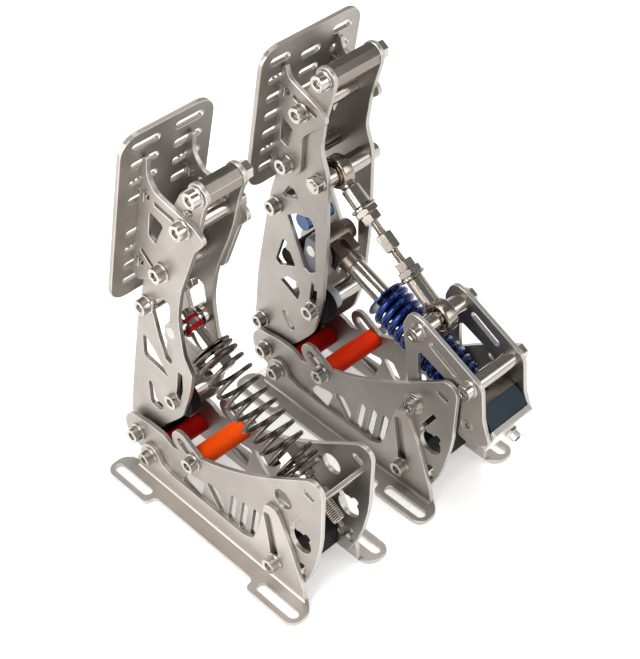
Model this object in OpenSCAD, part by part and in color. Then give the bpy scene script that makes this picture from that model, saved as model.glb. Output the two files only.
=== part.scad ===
// Two sheet-metal floor pedals for driving games: a throttle and a brake that stand side by side.
// X runs to the driver's right, Y away from the driver and Z up from the floor.
// Outlines are drawn in the Y-Z plane as [y, z, corner radius] and made into sheets across X.

/* [Layout] */
// distance between the middle planes of the two pedals
pitch = 113.5; // [108:0.5:130]
// thickness of the bent and cut sheets
sheet_t = 3; // [2.6:0.1:3.2]
// clear width between the throttle's side plates
throttle_clear = 36; // [36:0.5:39]
// clear width between the brake's side plates
brake_clear = 43; // [43:0.5:45]

/* [Base] */
// height of both pedal pivots above the floor
pivot_z = 31.6; // [31:0.2:33]
// diameter of the pivot shafts
pivot_d = 10; // [8:0.5:11]
// outer diameter of the rest stop sleeves
rest_sleeve_d = 13; // [11:0.5:13]
// outer diameter of the travel stop sleeves
travel_sleeve_d = 14; // [12:0.5:14.4]
// distance between the two mounting slots of a foot
foot_slot_spacing = 134; // [130:1:136]
// end-to-end length of a mounting slot
foot_slot_len = 33.5; // [28:0.5:34]
// width of a mounting slot
foot_slot_w = 6.6; // [5.5:0.1:7]
// reach of the mounting tabs out from the side plate
foot_reach = 21; // [20:0.5:24]

/* [Fasteners] */
// thread diameter of the bolts
bolt_d = 6; // [5:0.5:6]
// diameter of a socket cap head
head_d = 10; // [9:0.5:10.5]
// height of a socket cap head
head_h = 5.4; // [4.6:0.2:6]
// diameter of the washers
washer_d = 12; // [11:0.5:12.4]
// thickness of the washers
washer_t = 1.2; // [1:0.1:1.6]

/* [Throttle arm] */
// clear width between the throttle arm plates
throttle_arm_clear = 23; // [22:0.5:23]
// diameter of the rubber travel bumper
bumper_d = 27; // [22:0.5:27]
// width of the throttle face plate
throttle_face_w = 65; // [62:1:72]
// length of the throttle face plate
throttle_face_h = 131; // [128:1:133]
// lean of the throttle face plate back from upright
throttle_face_lean = 12; // [11:0.5:13]

/* [Throttle strut] */
// diameter of the strut tube between its head and its perch
throttle_tube_d = 10; // [9:0.2:10.4]
// diameter of the threaded stud behind the seat plate
throttle_stud_d = 8.6; // [7.8:0.2:9]
// outer diameter of the throttle spring
throttle_spring_d = 28.5; // [27:0.5:29]
// wire diameter of the throttle spring
throttle_wire_d = 2.7; // [2.2:0.1:2.8]
// curls of the throttle spring
throttle_curls = 11; // [8:1:12]

/* [Brake arm] */
// clear width between the brake arm plates
brake_arm_clear = 34; // [33:0.5:34]
// width of the brake face plate
brake_face_w = 79; // [76:1:86]
// length of the brake face plate
brake_face_h = 106; // [102:1:108]
// lean of the brake face plate back from upright
brake_face_lean = 9.4; // [8.5:0.5:10]

/* [Brake linkage] */
// diameter of the brake push rod
brake_rod_d = 12.4; // [11:0.2:12.6]
// outer diameter of the brake spring
brake_spring_d = 28.6; // [27:0.2:29]
// wire diameter of the brake spring
brake_wire_d = 4.6; // [4.2:0.2:4.8]
// curls of the brake spring
brake_curls = 14; // [11:1:15]
// radius of the pivoting spring block
block_r = 16.5; // [15:0.5:17]

/* [Hidden] */
$fn = 48;
steel = [0.66, 0.64, 0.61];
polished = [0.8, 0.8, 0.8];
dark_steel = [0.32, 0.31, 0.3];
black = [0.07, 0.07, 0.07];
dark_red = [0.55, 0.05, 0.03];
orange = [0.9, 0.27, 0.08];
blue = [0.04, 0.14, 0.48];
dark_blue = [0.1, 0.14, 0.2];

// named clearances
turn_gap = 0.05;
bolt_gap = 0.05;
stop_gap = 0.4;
side_gap = 0.3;
push_gap = 0.6;
ball_gap = 0.85;

// half widths of the two stacks of sheets, counted out from each pedal's middle plane
t_in = throttle_clear / 2;
b_in = brake_clear / 2;
t_arm = throttle_arm_clear / 2;
b_arm = brake_arm_clear / 2;

// places of the two pedals, which centre the whole set on X
throttle_x = (pitch + b_in - t_in) / 2;
brake_x = (b_in - t_in - pitch) / 2;

// pins and bolts in a side view, as [y, z]
pivot = [0, pivot_z];
rest_stop = [14.4, pivot_z - 8.9];
travel_top = [42, 53];
travel_stop = [54.1, 45.9];
foot_bolt = [128.7, 19.5];
side_bottom = 8;

// throttle strut: arm pin, then the seat plate across its axis
t_pin = pivot + [33, 102.7];
t_seat = [145, 69];
t_axis = atan2(t_seat.y - t_pin.y, t_seat.x - t_pin.x);
t_len = norm(t_seat - t_pin);
t_perch = 24;
t_lower_perch = t_len - 22;

// brake linkage
rocker_pivot = [133, 76];
tie_top = pivot + [45.8, 161.3];
tie_bottom = rocker_pivot + [-3.5, 54];
tie_axis = atan2(tie_bottom.y - tie_top.y, tie_bottom.x - tie_top.x);
tie_len = norm(tie_bottom - tie_top);
tie_x = [4.5, 1.5];
tie_slope = atan((tie_x[0] - tie_x[1]) / tie_len);
rear_tube = rocker_pivot + [37.5, 36];
b_pin = pivot + [35, 100.4];
b_block = rocker_pivot + [37.7, 5];
b_axis = atan2(b_block.y - b_pin.y, b_block.x - b_pin.x);
b_len = norm(b_block - b_pin);
b_perch = 52.6;
ball_r = 5.6;
b_seat = b_len - 7.4;
outlet_r = 3.5;
outlet_end = b_len + 24.5;

// the set's front and rear, which centre it on Y
front_y = -15.3;
rear_y = b_pin.x + outlet_end * cos(b_axis) - outlet_r * sin(b_axis);
y_shift = -(front_y + rear_y) / 2;

bolt_r = bolt_d / 2;
nut_r = 5 / cos(30);
nut_t = 4.6;
low_head = t_in - side_gap - t_arm - sheet_t;

/* outline helpers */

// points of a round corner at b, between neighbours a and c
function corner(a, b, c, r) =
    let (
        u = (a - b) / norm(a - b),
        w = (c - b) / norm(c - b),
        half = acos(u * w) / 2,
        reach = min(r / tan(half), 0.49 * min(norm(a - b), norm(c - b))),
        rr = reach * tan(half),
        o = b + (u + w) / norm(u + w) * rr / sin(half),
        p0 = b + u * reach - o,
        p1 = b + w * reach - o,
        from = atan2(p0.y, p0.x),
        sweep = (atan2(p1.y, p1.x) - from + 540) % 360 - 180,
        n = max(1, ceil(abs(sweep) / 15))
    )
    [for (i = [0:n]) o + rr * [cos(from + sweep * i / n), sin(from + sweep * i / n)]];

function flat(p) = [p[0], p[1]];

// an outline of [y, z, radius] points with its corners rounded
function rounded(p) = [
    for (i = [0:len(p) - 1])
        let (
            a = flat(p[(i + len(p) - 1) % len(p)]),
            b = flat(p[i]),
            c = flat(p[(i + 1) % len(p)])
        )
        each (p[i][2] > 0 ? corner(a, b, c, p[i][2]) : [b])
];

// inner points of a curve from a to c that bends towards b
function bend(a, b, c, n) = [
    for (i = [1:n - 1])
        let (t = i / n, q = (1 - t) * (1 - t) * a + 2 * t * (1 - t) * b + t * t * c)
        [q.x, q.y, 0]
];

// an outline moved by a [y, z] offset
function moved(p, d) = [for (q = p) [q[0] + d.x, q[1] + d.y, q[2]]];

module outline(points) {
    polygon(rounded(points));
}

module dot(p, r) {
    translate(p) circle(r);
}

// points of a half circle that starts at an angle
function half_turn(p, r, from) = [for (i = [0:12]) p + r * [cos(from + 15 * i), sin(from + 15 * i)]];

// slot from a to b in any direction
module slot(a, b, r) {
    angle = atan2(b.y - a.y, b.x - a.x);
    polygon(concat(half_turn(a, r, angle + 90), half_turn(b, r, angle - 90)));
}

// slot with true round ends, reaching half_x or half_y each way from its middle
module level_slot(p, half_x, half_y, r) {
    union() {
        dot(p - [half_x, half_y], r);
        dot(p + [half_x, half_y], r);
        translate(p - [half_x + (half_x > 0 ? 0 : r), half_y + (half_y > 0 ? 0 : r)])
            square([2 * (half_x > 0 ? half_x : r), 2 * (half_y > 0 ? half_y : r)]);
    }
}

/* solid helpers */

module at_throttle() {
    translate([throttle_x, y_shift, 0]) children();
}

module at_brake() {
    translate([brake_x, y_shift, 0]) children();
}

// a sheet across X whose near face lies at x
module sheet(x, t = sheet_t) {
    translate([x, 0, 0]) rotate([90, 0, 90]) linear_extrude(t) children();
}

// a round bar along X through p
module bar(x0, x1, p, r) {
    translate([x0, p.x, p.y]) rotate([0, 90, 0]) cylinder(h = x1 - x0, r = r);
}

module tube(x0, x1, p, r, bore) {
    difference() {
        bar(x0, x1, p, r);
        bar(x0 - 1, x1 + 1, p, bore);
    }
}

// the same tube on both sides of the middle plane
module tube_pair(x0, x1, p, r, bore) {
    tube(x0, x1, p, r, bore);
    tube(-x1, -x0, p, r, bore);
}

// local Z runs from p along a strut at the given angle in the side view
module on_axis(p, angle) {
    translate([0, p.x, p.y]) rotate([angle - 90, 0, 0]) children();
}

module ring(z0, z1, r, bore) {
    difference() {
        translate([0, 0, z0]) cylinder(h = z1 - z0, r = r);
        translate([0, 0, z0 - 1]) cylinder(h = z1 - z0 + 2, r = bore);
    }
}

// cap head with a hexagonal socket, seated at x and pointing to +X
module cap_head(x, p, h = head_h) {
    difference() {
        bar(x, x + h, p, head_d / 2);
        translate([x + h - 2.6, p.x, p.y]) rotate([0, 90, 0]) cylinder(h = 3, r = 2.9, $fn = 6);
    }
}

module washer(x, p) {
    tube(x, x + washer_t, p, washer_d / 2, bolt_r);
}

// bolt across the pedal, head at the right and nut at the left, over faces at +half and -half
module through_bolt(p, half) {
    union() {
        bar(-half - washer_t - nut_t - 1, half + washer_t, p, bolt_r);
        washer(half, p);
        washer(-half - washer_t, p);
        cap_head(half + washer_t, p);
        translate([-half - washer_t - nut_t, p.x, p.y])
            rotate([0, 90, 0]) cylinder(h = nut_t, r = nut_r, $fn = 6);
    }
}

// screw from the right side, with its face at x and its tip at tip
module side_screw(p, x, tip) {
    union() {
        bar(tip, x + washer_t, p, bolt_r);
        washer(x, p);
        cap_head(x + washer_t, p);
    }
}

module both_sides() {
    children();
    mirror([1, 0, 0]) children();
}

/* base */

side_points = concat(
    [[-9, 24, 0], [13, side_bottom, 4], [147, side_bottom, 7], [158, 32, 60], [164, 62, 60]],
    [[165.4, 117, 10], [139.4, 98, 0]],
    bend([139.4, 98], [99, 66.3], [62, 53.3], 7),
    [[62, 53.3, 0], [57, 50, 4], [34, 42.5, 0], [24, 47, 14], [10, 46.6, 20], [-4, 44, 0]]
);

// side plate outline; the throttle's has an open round hole and the brake's a pivot hole
module side_2d(round_hole_r) {
    difference() {
        union() {
            outline(side_points);
            dot(pivot, 13.5);
            slot(travel_top, travel_stop, 8.3);
        }
        dot(pivot, bolt_r + bolt_gap);
        dot(rest_stop, bolt_r + bolt_gap);
        slot(travel_top, travel_stop, 3.3);
        dot(foot_bolt, bolt_r + bolt_gap);
        outline([[48, 30, 2], [63.5, 33, 2], [57, 14, 2], [40, 18.5, 3]]);
        outline([[63, 36, 3], [73, 36, 3], [79.5, 27, 3], [78, 15, 2]]);
        for (i = [0:2])
            slot([86 + 10 * i, 20 + i], [89.5 + 10 * i, 40 + 2 * i], 2.6);
        dot(rocker_pivot, round_hole_r);
        slot([151.8, 97.2], [156.4, 95.8], 2.1);
        translate(t_seat) rotate(t_axis) square([sheet_t + 0.2, 16.6], center = true);
        dot([147.5, 51], 8.2);
        dot([141.5, 57.5], 2.6);
        dot([152.5, 58.5], 2.6);
        slot([141.8, 22.5], [148.8, 29.5], 2.6);
        slot([141.8, 29.5], [148.8, 22.5], 2.6);
    }
}

web_points = [
    [0, 0, 0], [4.5, 25, 5], [20, 29.5, 4], [24.8, 21.5, 4], [31, 19.2, 4], [100, 19.2, 5],
    [108.6, 23, 6], [112.8, 33, 10], [118.5, 56, 8], [120.5, 65.5, 5.5], [130.6, 65.5, 5.5],
    [142.5, 40, 30], [152, 13, 10], [154, 0, 0]
];

module web_2d() {
    difference() {
        union() {
            outline(web_points);
            dot(rest_stop, 8.4);
        }
        dot(rest_stop, bolt_r + bolt_gap);
        slot([122.5, 54], foot_bolt, 3.3);
    }
}

slot_x = 13.75;
slot_front_y = 7.5;
slot_ys = [slot_front_y, slot_front_y + foot_slot_spacing];
tab_front = slot_front_y - foot_slot_len / 2 - 3.4;
tab_rear = slot_ys[1] + foot_slot_len / 2 + 3.4;

// floor flange, drawn as [x out from the side plate, y]
flange_points = [
    [0, -5, 7], [5, tab_front, 9], [foot_reach, tab_front, 9], [foot_reach, 28.5, 9],
    [slot_x - 0.3, 28.5, 4], [slot_x - 0.3, 120, 4], [foot_reach, 120, 9],
    [foot_reach, tab_rear, 9], [6.5, tab_rear, 10], [0, 154, 7]
];

// bent foot bracket, with its web's inner face at x
module foot(x) {
    bend_r = sheet_t + 1.5;
    difference() {
        union() {
            sheet(x) web_2d();
            translate([x, 0, 0]) linear_extrude(sheet_t) difference() {
                outline(flange_points);
                for (y = slot_ys)
                    level_slot([slot_x, y], 0, (foot_slot_len - foot_slot_w) / 2, foot_slot_w / 2);
            }
            difference() {
                translate([x + sheet_t - 0.1, 0, sheet_t - 0.1]) cube([1.6, 154, 1.6]);
                translate([x + bend_r, -1, bend_r]) rotate([-90, 0, 0]) cylinder(h = 156, r = 1.5);
            }
        }
        difference() {
            translate([x - 1, -10, -1]) cube([bend_r + 1, 180, bend_r + 1]);
            translate([x + bend_r, -11, bend_r]) rotate([-90, 0, 0]) cylinder(h = 182, r = bend_r);
        }
    }
}

// sleeve between the side plates
module stop_sleeve(p, half, d) {
    tube(-half, half, p, d / 2, bolt_r);
}

// pivot shaft clamped between the side plates, with its end screws
module pivot_shaft(half) {
    outer = half + sheet_t;
    union() {
        bar(-half, half, pivot, pivot_d / 2);
        through_bolt(pivot, outer);
    }
}

module base_bolts(half) {
    through_bolt(rest_stop, half + 2 * sheet_t);
    through_bolt(travel_stop, half + sheet_t);
    both_sides() side_screw(foot_bolt, half + 2 * sheet_t, half - 8);
}

// closed sensor housing held between the side plates by the foot screws
module sensor_box(half) {
    difference() {
        sheet(-half, 2 * half) outline([[112, 9, 3], [139, 9, 2], [139, 26, 4], [134, 34, 4], [112, 34, 3]]);
        both_sides() bar(half - 8.4, half + 1, foot_bolt, bolt_r + bolt_gap);
    }
}

module throttle_side_plate_right() {
    color(steel) at_throttle() sheet(t_in) side_2d(7);
}

module throttle_side_plate_left() {
    color(steel) at_throttle() sheet(-t_in - sheet_t) side_2d(7);
}

module throttle_foot_right() {
    color(steel) at_throttle() foot(t_in + sheet_t);
}

module throttle_foot_left() {
    color(steel) at_throttle() mirror([1, 0, 0]) foot(t_in + sheet_t);
}

module throttle_rest_stop_sleeve() {
    color(dark_red) at_throttle() stop_sleeve(rest_stop, t_in, rest_sleeve_d);
}

module throttle_travel_stop_sleeve() {
    color(orange) at_throttle() stop_sleeve(travel_stop, t_in, travel_sleeve_d);
}

module throttle_pivot_shaft() {
    color(polished) at_throttle() pivot_shaft(t_in);
}

module throttle_base_bolts() {
    color(polished) at_throttle() base_bolts(t_in);
}

module throttle_sensor_box() {
    color(black) at_throttle() sensor_box(t_in);
}

// inclined plate that the lower spring perch rests on, with tabs in the side plates
module throttle_seat_plate() {
    color(steel) at_throttle() on_axis(t_pin, t_axis) translate([0, 0, t_len - sheet_t / 2])
        linear_extrude(sheet_t) difference() {
            union() {
                translate([-t_in, -26.5]) square([2 * t_in, 38]);
                translate([-t_in - sheet_t, -8]) square([2 * (t_in + sheet_t), 16]);
            }
            circle(throttle_stud_d / 2 + bolt_gap);
        }
}

// nut inside the last curls, flange, collar, nut at the plate and the threaded stud through it
module throttle_lower_perch() {
    color(polished) at_throttle() on_axis(t_pin, t_axis) union() {
        translate([0, 0, t_lower_perch - 14]) cylinder(h = 9.6, r = 7.8, $fn = 6);
        translate([0, 0, t_lower_perch - 5]) cylinder(h = 8, r = 6);
        translate([0, 0, t_lower_perch]) cylinder(h = 3.2, r = 13.8);
        translate([0, 0, t_lower_perch + 3]) cylinder(h = 3.4, r = 6.6, $fn = 6);
        translate([0, 0, t_len - sheet_t / 2 - 4.6]) cylinder(h = 4.6, r = 7, $fn = 6);
        translate([0, 0, t_lower_perch + 3]) cylinder(h = t_len + 12 - t_lower_perch, r = throttle_stud_d / 2);
    }
}

/* throttle arm, with outlines counted from its pivot */

t_toe = rest_stop.x - rest_sleeve_d / 2 - stop_gap;
t_bar = pivot + [65.9, 221.1];
t_bolt_top = pivot + [56.5, 195.9];
t_bolt_mid = pivot + [34.5, 152.4];
t_bolt_front = pivot + [13.5, 113.4];
t_bumper = pivot + [30, 44.9];

throttle_arm_points = [
    [-14.2, 6, 14], [-10, -16.5, 6], [t_toe, -18.5, 4], [t_toe, 1, 5], [21, 17.5, 30],
    [37.5, 36, 25], [46, 60, 60], [50, 79, 7], [43.4, 91, 9], [40.6, 118, 50], [46, 144, 60],
    [61.6, 181, 80], [68, 206, 20], [72, 218, 0], [60, 224, 0], [51.2, 214.5, 3],
    [25.5, 165.5, 20], [13.5, 137, 40], [2.5, 97, 100], [-10.6, 29, 60]
];

module throttle_arm_2d() {
    difference() {
        union() {
            outline(moved(throttle_arm_points, pivot));
            dot(t_bar, 7.6);
        }
        dot(pivot, pivot_d / 2 + turn_gap);
        dot(t_pin, 4);
        for (p = [t_bar, t_bolt_top, t_bolt_mid, t_bolt_front, t_bumper])
            dot(p, bolt_r + bolt_gap);
        outline(moved([[15.5, 116, 2], [28.5, 126.5, 2], [33.6, 125, 2], [35.2, 112, 2],
            [27.5, 106, 5], [27, 95, 5], [33.6, 91, 4], [31, 75.5, 2], [25.6, 77, 3], [21, 92, 20]], pivot));
        outline(moved([[5.5, 86, 2], [15.5, 77.5, 1.5], [27, 62.5, 0.6], [4.8, 66, 2]], pivot));
        throttle_tongue_slot();
        outline(moved([[40, 171.5, 1.5], [34.4, 161.5, 1], [39.4, 159.4, 1], [44, 168, 1.5]], pivot));
        outline(moved([[52.6, 203.6, 1.5], [61.5, 211, 1.5], [60, 203.5, 1], [56.4, 202, 1]], pivot));
    }
}

// slot that runs round the bumper bolt's tongue
module throttle_tongue_slot() {
    outline(moved([[6.4, 45, 1.5], [9.6, 47, 1], [12.5, 33, 4], [21, 33, 6], [17, 25.5, 6],
        [7, 26.5, 3]], pivot));
    outline(moved([[36.6, 73.5, 1.5], [40.6, 74, 1.5], [40, 60, 10], [36, 47.5, 6], [33, 52, 3],
        [34.6, 60, 10]], pivot));
}

// outline edge that lies on the back of a face plate, at height z above the pivot
function on_face(top, lean, z) = [top.x - (top.y - z) * tan(lean), z];

t_face_top = [29.2, 244.5];
b_face_top = [21, 246.2];

module throttle_bracket_2d() {
    top = on_face(t_face_top, throttle_face_lean, 226.5);
    low = on_face(t_face_top, throttle_face_lean, 136);
    difference() {
        outline(moved([[top.x, top.y, 1.5], [top.x + 4.2, 228.6, 2], [top.x + 2.6, 214, 12],
            [34.5, 206.5, 8], [66, 200, 9], [73.5, 194.5, 5], [64, 183.5, 8], [49.5, 146, 10],
            [38, 141, 8], [22, 139, 8], [10.5, 132, 3], [low.x, low.y, 2]], pivot));
        for (p = [t_bolt_top, t_bolt_mid])
            dot(p, bolt_r + bolt_gap);
        outline(moved([[27.6, 191, 2], [24.6, 172.5, 2], [30.4, 169.5, 2], [38.8, 187, 2]], pivot));
        slot(pivot + [33.5, 199], pivot + [47, 196.8], 1.6);
        slot(pivot + [17.6, 157.5], pivot + [24.8, 151.5], 1.6);
        for (z = t_screw_z)
            nut_pocket(t_face_top, throttle_face_lean, z);
    }
}

face_nut = 7;

// cross-shaped pocket that a square nut and its screw sit in
module nut_pocket(top, lean, z) {
    translate(pivot + on_face(top, lean, z)) rotate(-lean) {
        translate([-1, -2.1]) square([9.5, 4.2]);
        translate([3.5, -face_nut / 2 - 0.1]) square([3, face_nut + 0.2]);
    }
}

// places things on the back of a face plate: local X across, local Y up it, local Z to its front
module on_face_plate(top, lean) {
    translate([0, pivot.x + top.x, pivot.y + top.y]) rotate([90 - lean, 0, 0]) children();
}

// face plate with rows of slots in the given columns, each [x, first drop, rows, half length]
module face_plate(top, lean, w, h, columns, screws, screw_x) {
    on_face_plate(top, lean) linear_extrude(sheet_t) difference() {
        outline([[-w / 2, 0, 12], [w / 2, 0, 12], [w / 2, -h, 12], [-w / 2, -h, 12]]);
        for (c = columns)
            for (drop = c[1])
                level_slot([c[0], -drop], c[2], 0, 2.6);
        for (x = [-screw_x, screw_x])
            for (z = screws)
                dot([x, (z - top.y) / cos(lean)], 2);
    }
}

// button head in front of the face plate, shank and square nut behind it
module face_screw(x, drop) {
    translate([x, drop, 0]) union() {
        translate([0, 0, -6.9]) cylinder(h = 6.9 + sheet_t, r = 2);
        translate([0, 0, sheet_t]) cylinder(h = 2.2, r = 4);
        translate([-face_nut / 2, -face_nut / 2, -6.4]) cube([face_nut, face_nut, 2.8]);
    }
}

// the four screws of a face plate at heights z above the pivot
module face_screws(top, lean, screws, screw_x) {
    on_face_plate(top, lean)
        for (x = [-screw_x, screw_x])
            for (z = screws)
                face_screw(x, (z - top.y) / cos(lean));
}

t_screw_z = [202.3, 149.5];
b_screw_z = [215.8, 162.5];
t_screw_x = t_arm + 1.5 * sheet_t;
b_screw_x = b_arm + 1.5 * sheet_t;
row = 13.5;

module throttle_arm_plate_right() {
    color(steel) at_throttle() sheet(t_arm) throttle_arm_2d();
}

module throttle_arm_plate_left() {
    color(steel) at_throttle() sheet(-t_arm - sheet_t) throttle_arm_2d();
}

// pivot bush with a heel block that rests near the stop sleeve
module arm_hub(half, toe) {
    sheet(-half, 2 * half) difference() {
        union() {
            dot(pivot, 9.6);
            outline([[-8, pivot.y - 4, 2], [-6, pivot.y - 17, 3], [toe, pivot.y - 17, 2],
                [toe, pivot.y - 3, 3]]);
        }
        dot(pivot, pivot_d / 2 + turn_gap);
    }
}

module throttle_arm_hub() {
    color(black) at_throttle() arm_hub(t_arm, t_toe);
}

module throttle_travel_bumper() {
    color(black) at_throttle() tube(3.5, t_arm, t_bumper, bumper_d / 2, bolt_r);
}

// tubes on the arm bolts between the arm plates, and pivot rings outside them
module throttle_arm_spacers() {
    color(polished) at_throttle() {
        tube_pair(t_arm + sheet_t, t_in - side_gap, pivot, 8.5, pivot_d / 2 + turn_gap);
        for (p = [t_bolt_top, t_bolt_mid, t_bolt_front])
            tube(-t_arm, t_arm, p, 5.5, bolt_r);
        tube(-t_arm, 3.5, t_bumper, 6.5, bolt_r);
    }
}

// eight-sided bar between the tops of the arm plates
module top_bar(half, p) {
    difference() {
        translate([-half, p.x, p.y]) rotate([0, 90, 0]) rotate(22.5)
            cylinder(h = 2 * half, r = 7.4, $fn = 8);
        bar(-half - 1, half + 1, p, bolt_r);
    }
}

module throttle_top_bar() {
    color(polished) at_throttle() top_bar(t_arm, t_bar);
}

// plain pin of the throttle's strut across the arm, with a ring each side of the strut's eye
module strut_pin(p, half, eye) {
    union() {
        bar(-half - sheet_t, half + sheet_t, p, 4 - bolt_gap);
        tube_pair(eye, half, p, 6.2, 3.9);
    }
}

// bolts, face screws and strut pin of the throttle arm
module throttle_arm_bolts() {
    arm_face = t_arm + sheet_t;
    color(polished) at_throttle() {
        through_bolt(t_bar, arm_face);
        through_bolt(t_bolt_top, arm_face + sheet_t);
        through_bolt(t_bolt_mid, arm_face + sheet_t);
        through_bolt(t_bolt_front, arm_face);
        face_screws(t_face_top, throttle_face_lean, t_screw_z, t_screw_x);
        strut_pin(t_pin, t_arm, 7.3);
        union() {
            bar(-arm_face - low_head, arm_face, t_bumper, bolt_r);
            cap_head(arm_face, t_bumper, low_head);
            translate([-arm_face - low_head, t_bumper.x, t_bumper.y])
                rotate([0, 90, 0]) cylinder(h = low_head, r = nut_r, $fn = 6);
        }
    }
}

// sheet bracket between the arm plate and the face plate
module throttle_face_bracket_right() {
    color(steel) at_throttle() sheet(t_arm + sheet_t) throttle_bracket_2d();
}

module throttle_face_bracket_left() {
    color(steel) at_throttle() sheet(-t_arm - 2 * sheet_t) throttle_bracket_2d();
}

module throttle_face_plate() {
    long_rows = [for (i = [0, 1, 2, 3, 5, 6, 7, 8]) 9.4 + row * i];
    color(steel) at_throttle() face_plate(t_face_top, throttle_face_lean, throttle_face_w,
        throttle_face_h, [[-15, long_rows, 7.2], [15, long_rows, 7.2]], t_screw_z, t_screw_x);
}

/* throttle strut */

// round head with the arm pin's hole across it
module throttle_strut_head() {
    color(polished) at_throttle() difference() {
        on_axis(t_pin, t_axis) translate([0, 0, -6.6]) cylinder(h = 14, r = 6.1);
        bar(-9, 9, t_pin, 4);
    }
}

// two coloured rings round the head
module throttle_strut_rings() {
    color(dark_red) at_throttle() difference() {
        on_axis(t_pin, t_axis) {
            ring(-1.8, 0.4, 6.9, 6.1);
            ring(3.6, 6.8, 6.9, 6.1);
        }
        bar(-9, 9, t_pin, 4.3);
    }
}

// tube from the head to the perch, with the nut inside the first curls
module throttle_strut_tube() {
    color(polished) at_throttle() on_axis(t_pin, t_axis) union() {
        translate([0, 0, 7.4]) cylinder(h = t_perch - 7.3, r = throttle_tube_d / 2);
        translate([0, 0, t_perch]) cylinder(h = 11.6, r = 8, $fn = 6);
    }
}

// double disc that the top of the spring bears on
module throttle_upper_perch() {
    color(dark_steel) at_throttle() on_axis(t_pin, t_axis) union() {
        ring(t_perch - 4, t_perch - 2.5, 13.4, throttle_tube_d / 2);
        ring(t_perch - 2.6, t_perch - 1.3, 8.6, throttle_tube_d / 2);
        ring(t_perch - 1.4, t_perch, 13.8, throttle_tube_d / 2);
    }
}

/* wound springs */

// height of the wire above the seat after a number of curls, with a closed curl at each end
function coil_z(t, curls, closed, length) =
    let (open = (length - 2 * closed) / (curls - 2))
    t < 1 ? t * closed : t > curls - 1 ? length - (curls - t) * closed : closed + (t - 1) * open;

function coil_points(r, wire_r, curls, closed, length) = [
    for (i = [0:curls * 8])
        let (t = i / 8, z = coil_z(t, curls, closed, length))
        for (k = [0:5])
            let (q = r + wire_r * cos(60 * k))
            [q * cos(360 * t), q * sin(360 * t), z + wire_r * sin(60 * k)]
];

// least distance between points of the wire that lie about one curl apart
function coil_gap(p, rings) = min([
    for (i = [0:rings - 7], j = [i + 6:min(i + 10, rings)], k = [0:5], m = [0:5])
        norm(p[6 * i + k] - p[6 * j + m])
]);

module coil(points, rings) {
    faces = concat(
        [for (i = [0:rings - 1], k = [0:5]) let (n = (k + 1) % 6)
            each [[6 * i + k, 6 * i + n, 6 * i + 6 + k], [6 * i + n, 6 * i + 6 + n, 6 * i + 6 + k]]],
        [for (k = [1:4]) each [[0, k + 1, k], [6 * rings, 6 * rings + k, 6 * rings + k + 1]]]
    );
    polyhedron(points, faces);
}

t_wire_r = throttle_wire_d / 2;
t_coil_len = t_lower_perch - t_perch - throttle_wire_d - 0.1;
t_coil = coil_points(throttle_spring_d / 2 - t_wire_r, t_wire_r, throttle_curls,
    throttle_wire_d + 0.8, t_coil_len);
b_wire_r = brake_wire_d / 2;
b_coil_len = b_seat - b_perch - brake_wire_d - 0.1;
b_coil = coil_points(brake_spring_d / 2 - b_wire_r, b_wire_r, brake_curls,
    brake_wire_d + 0.8, b_coil_len);
echo(throttle_spring_gap = coil_gap(t_coil, throttle_curls * 8));
echo(brake_spring_gap = coil_gap(b_coil, brake_curls * 8));

module throttle_spring() {
    color(dark_steel) at_throttle() on_axis(t_pin, t_axis)
        translate([0, 0, t_perch + t_wire_r + 0.05]) coil(t_coil, throttle_curls * 8);
}

/* brake base */

module brake_side_plate_right() {
    color(steel) at_brake() sheet(b_in) side_2d(4 + bolt_gap);
}

module brake_side_plate_left() {
    color(steel) at_brake() sheet(-b_in - sheet_t) side_2d(4 + bolt_gap);
}

module brake_foot_right() {
    color(steel) at_brake() foot(b_in + sheet_t);
}

module brake_foot_left() {
    color(steel) at_brake() mirror([1, 0, 0]) foot(b_in + sheet_t);
}

module brake_rest_stop_sleeve() {
    color(dark_red) at_brake() stop_sleeve(rest_stop, b_in, rest_sleeve_d);
}

module brake_travel_stop_sleeve() {
    color(orange) at_brake() stop_sleeve(travel_stop, b_in, travel_sleeve_d);
}

module brake_pivot_shaft() {
    color(polished) at_brake() pivot_shaft(b_in);
}

module brake_base_bolts() {
    color(polished) at_brake() {
        base_bolts(b_in);
        rocker_pivot_bolts();
    }
}

module brake_sensor_box() {
    color(black) at_brake() sensor_box(b_in);
}

// short shoulder bolts, one a side, that the rocker turns on
module rocker_pivot_bolts() {
    both_sides() union() {
        bar(b_arm + 0.2, b_in + sheet_t, rocker_pivot, 4);
        tube(b_arm + sheet_t + side_gap, b_in, rocker_pivot, 7, 3.9);
        tube(b_in + sheet_t, b_in + sheet_t + washer_t, rocker_pivot, 7.5, 3.9);
        cap_head(b_in + sheet_t + washer_t, rocker_pivot);
        bar(b_in + sheet_t - 0.1, b_in + sheet_t + washer_t + 0.1, rocker_pivot, 4);
    }
}

/* brake arm */

b_toe = rest_stop.x - rest_sleeve_d / 2 - stop_gap;
b_bar = pivot + [50, 234.4];
b_bolt_top = pivot + [35, 207.4];
b_bolt_low = pivot + [22, 164.4];
b_bolt_front = pivot + [8, 124];
b_bolt_heel = pivot + [-7.5, 19.4];
b_bumper = pivot + [40.5, 58];
b_cross = pivot + [28, 119.5];
b_damper = pivot + [14.6, 83.4];

brake_arm_points = [
    [-15.6, 13, 30], [-10, -16.5, 6], [b_toe, -18.5, 4], [b_toe, 3, 6], [24, 16.5, 40],
    [39.5, 36, 30], [47.8, 62, 60], [52, 112, 120], [52.4, 168, 20], [46.5, 184, 20],
    [50, 206, 40], [57.4, 232, 0], [44, 238, 0], [36.5, 222, 6], [16, 169.5, 30], [2.4, 131, 90],
    [-11, 60, 100]
];

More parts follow.
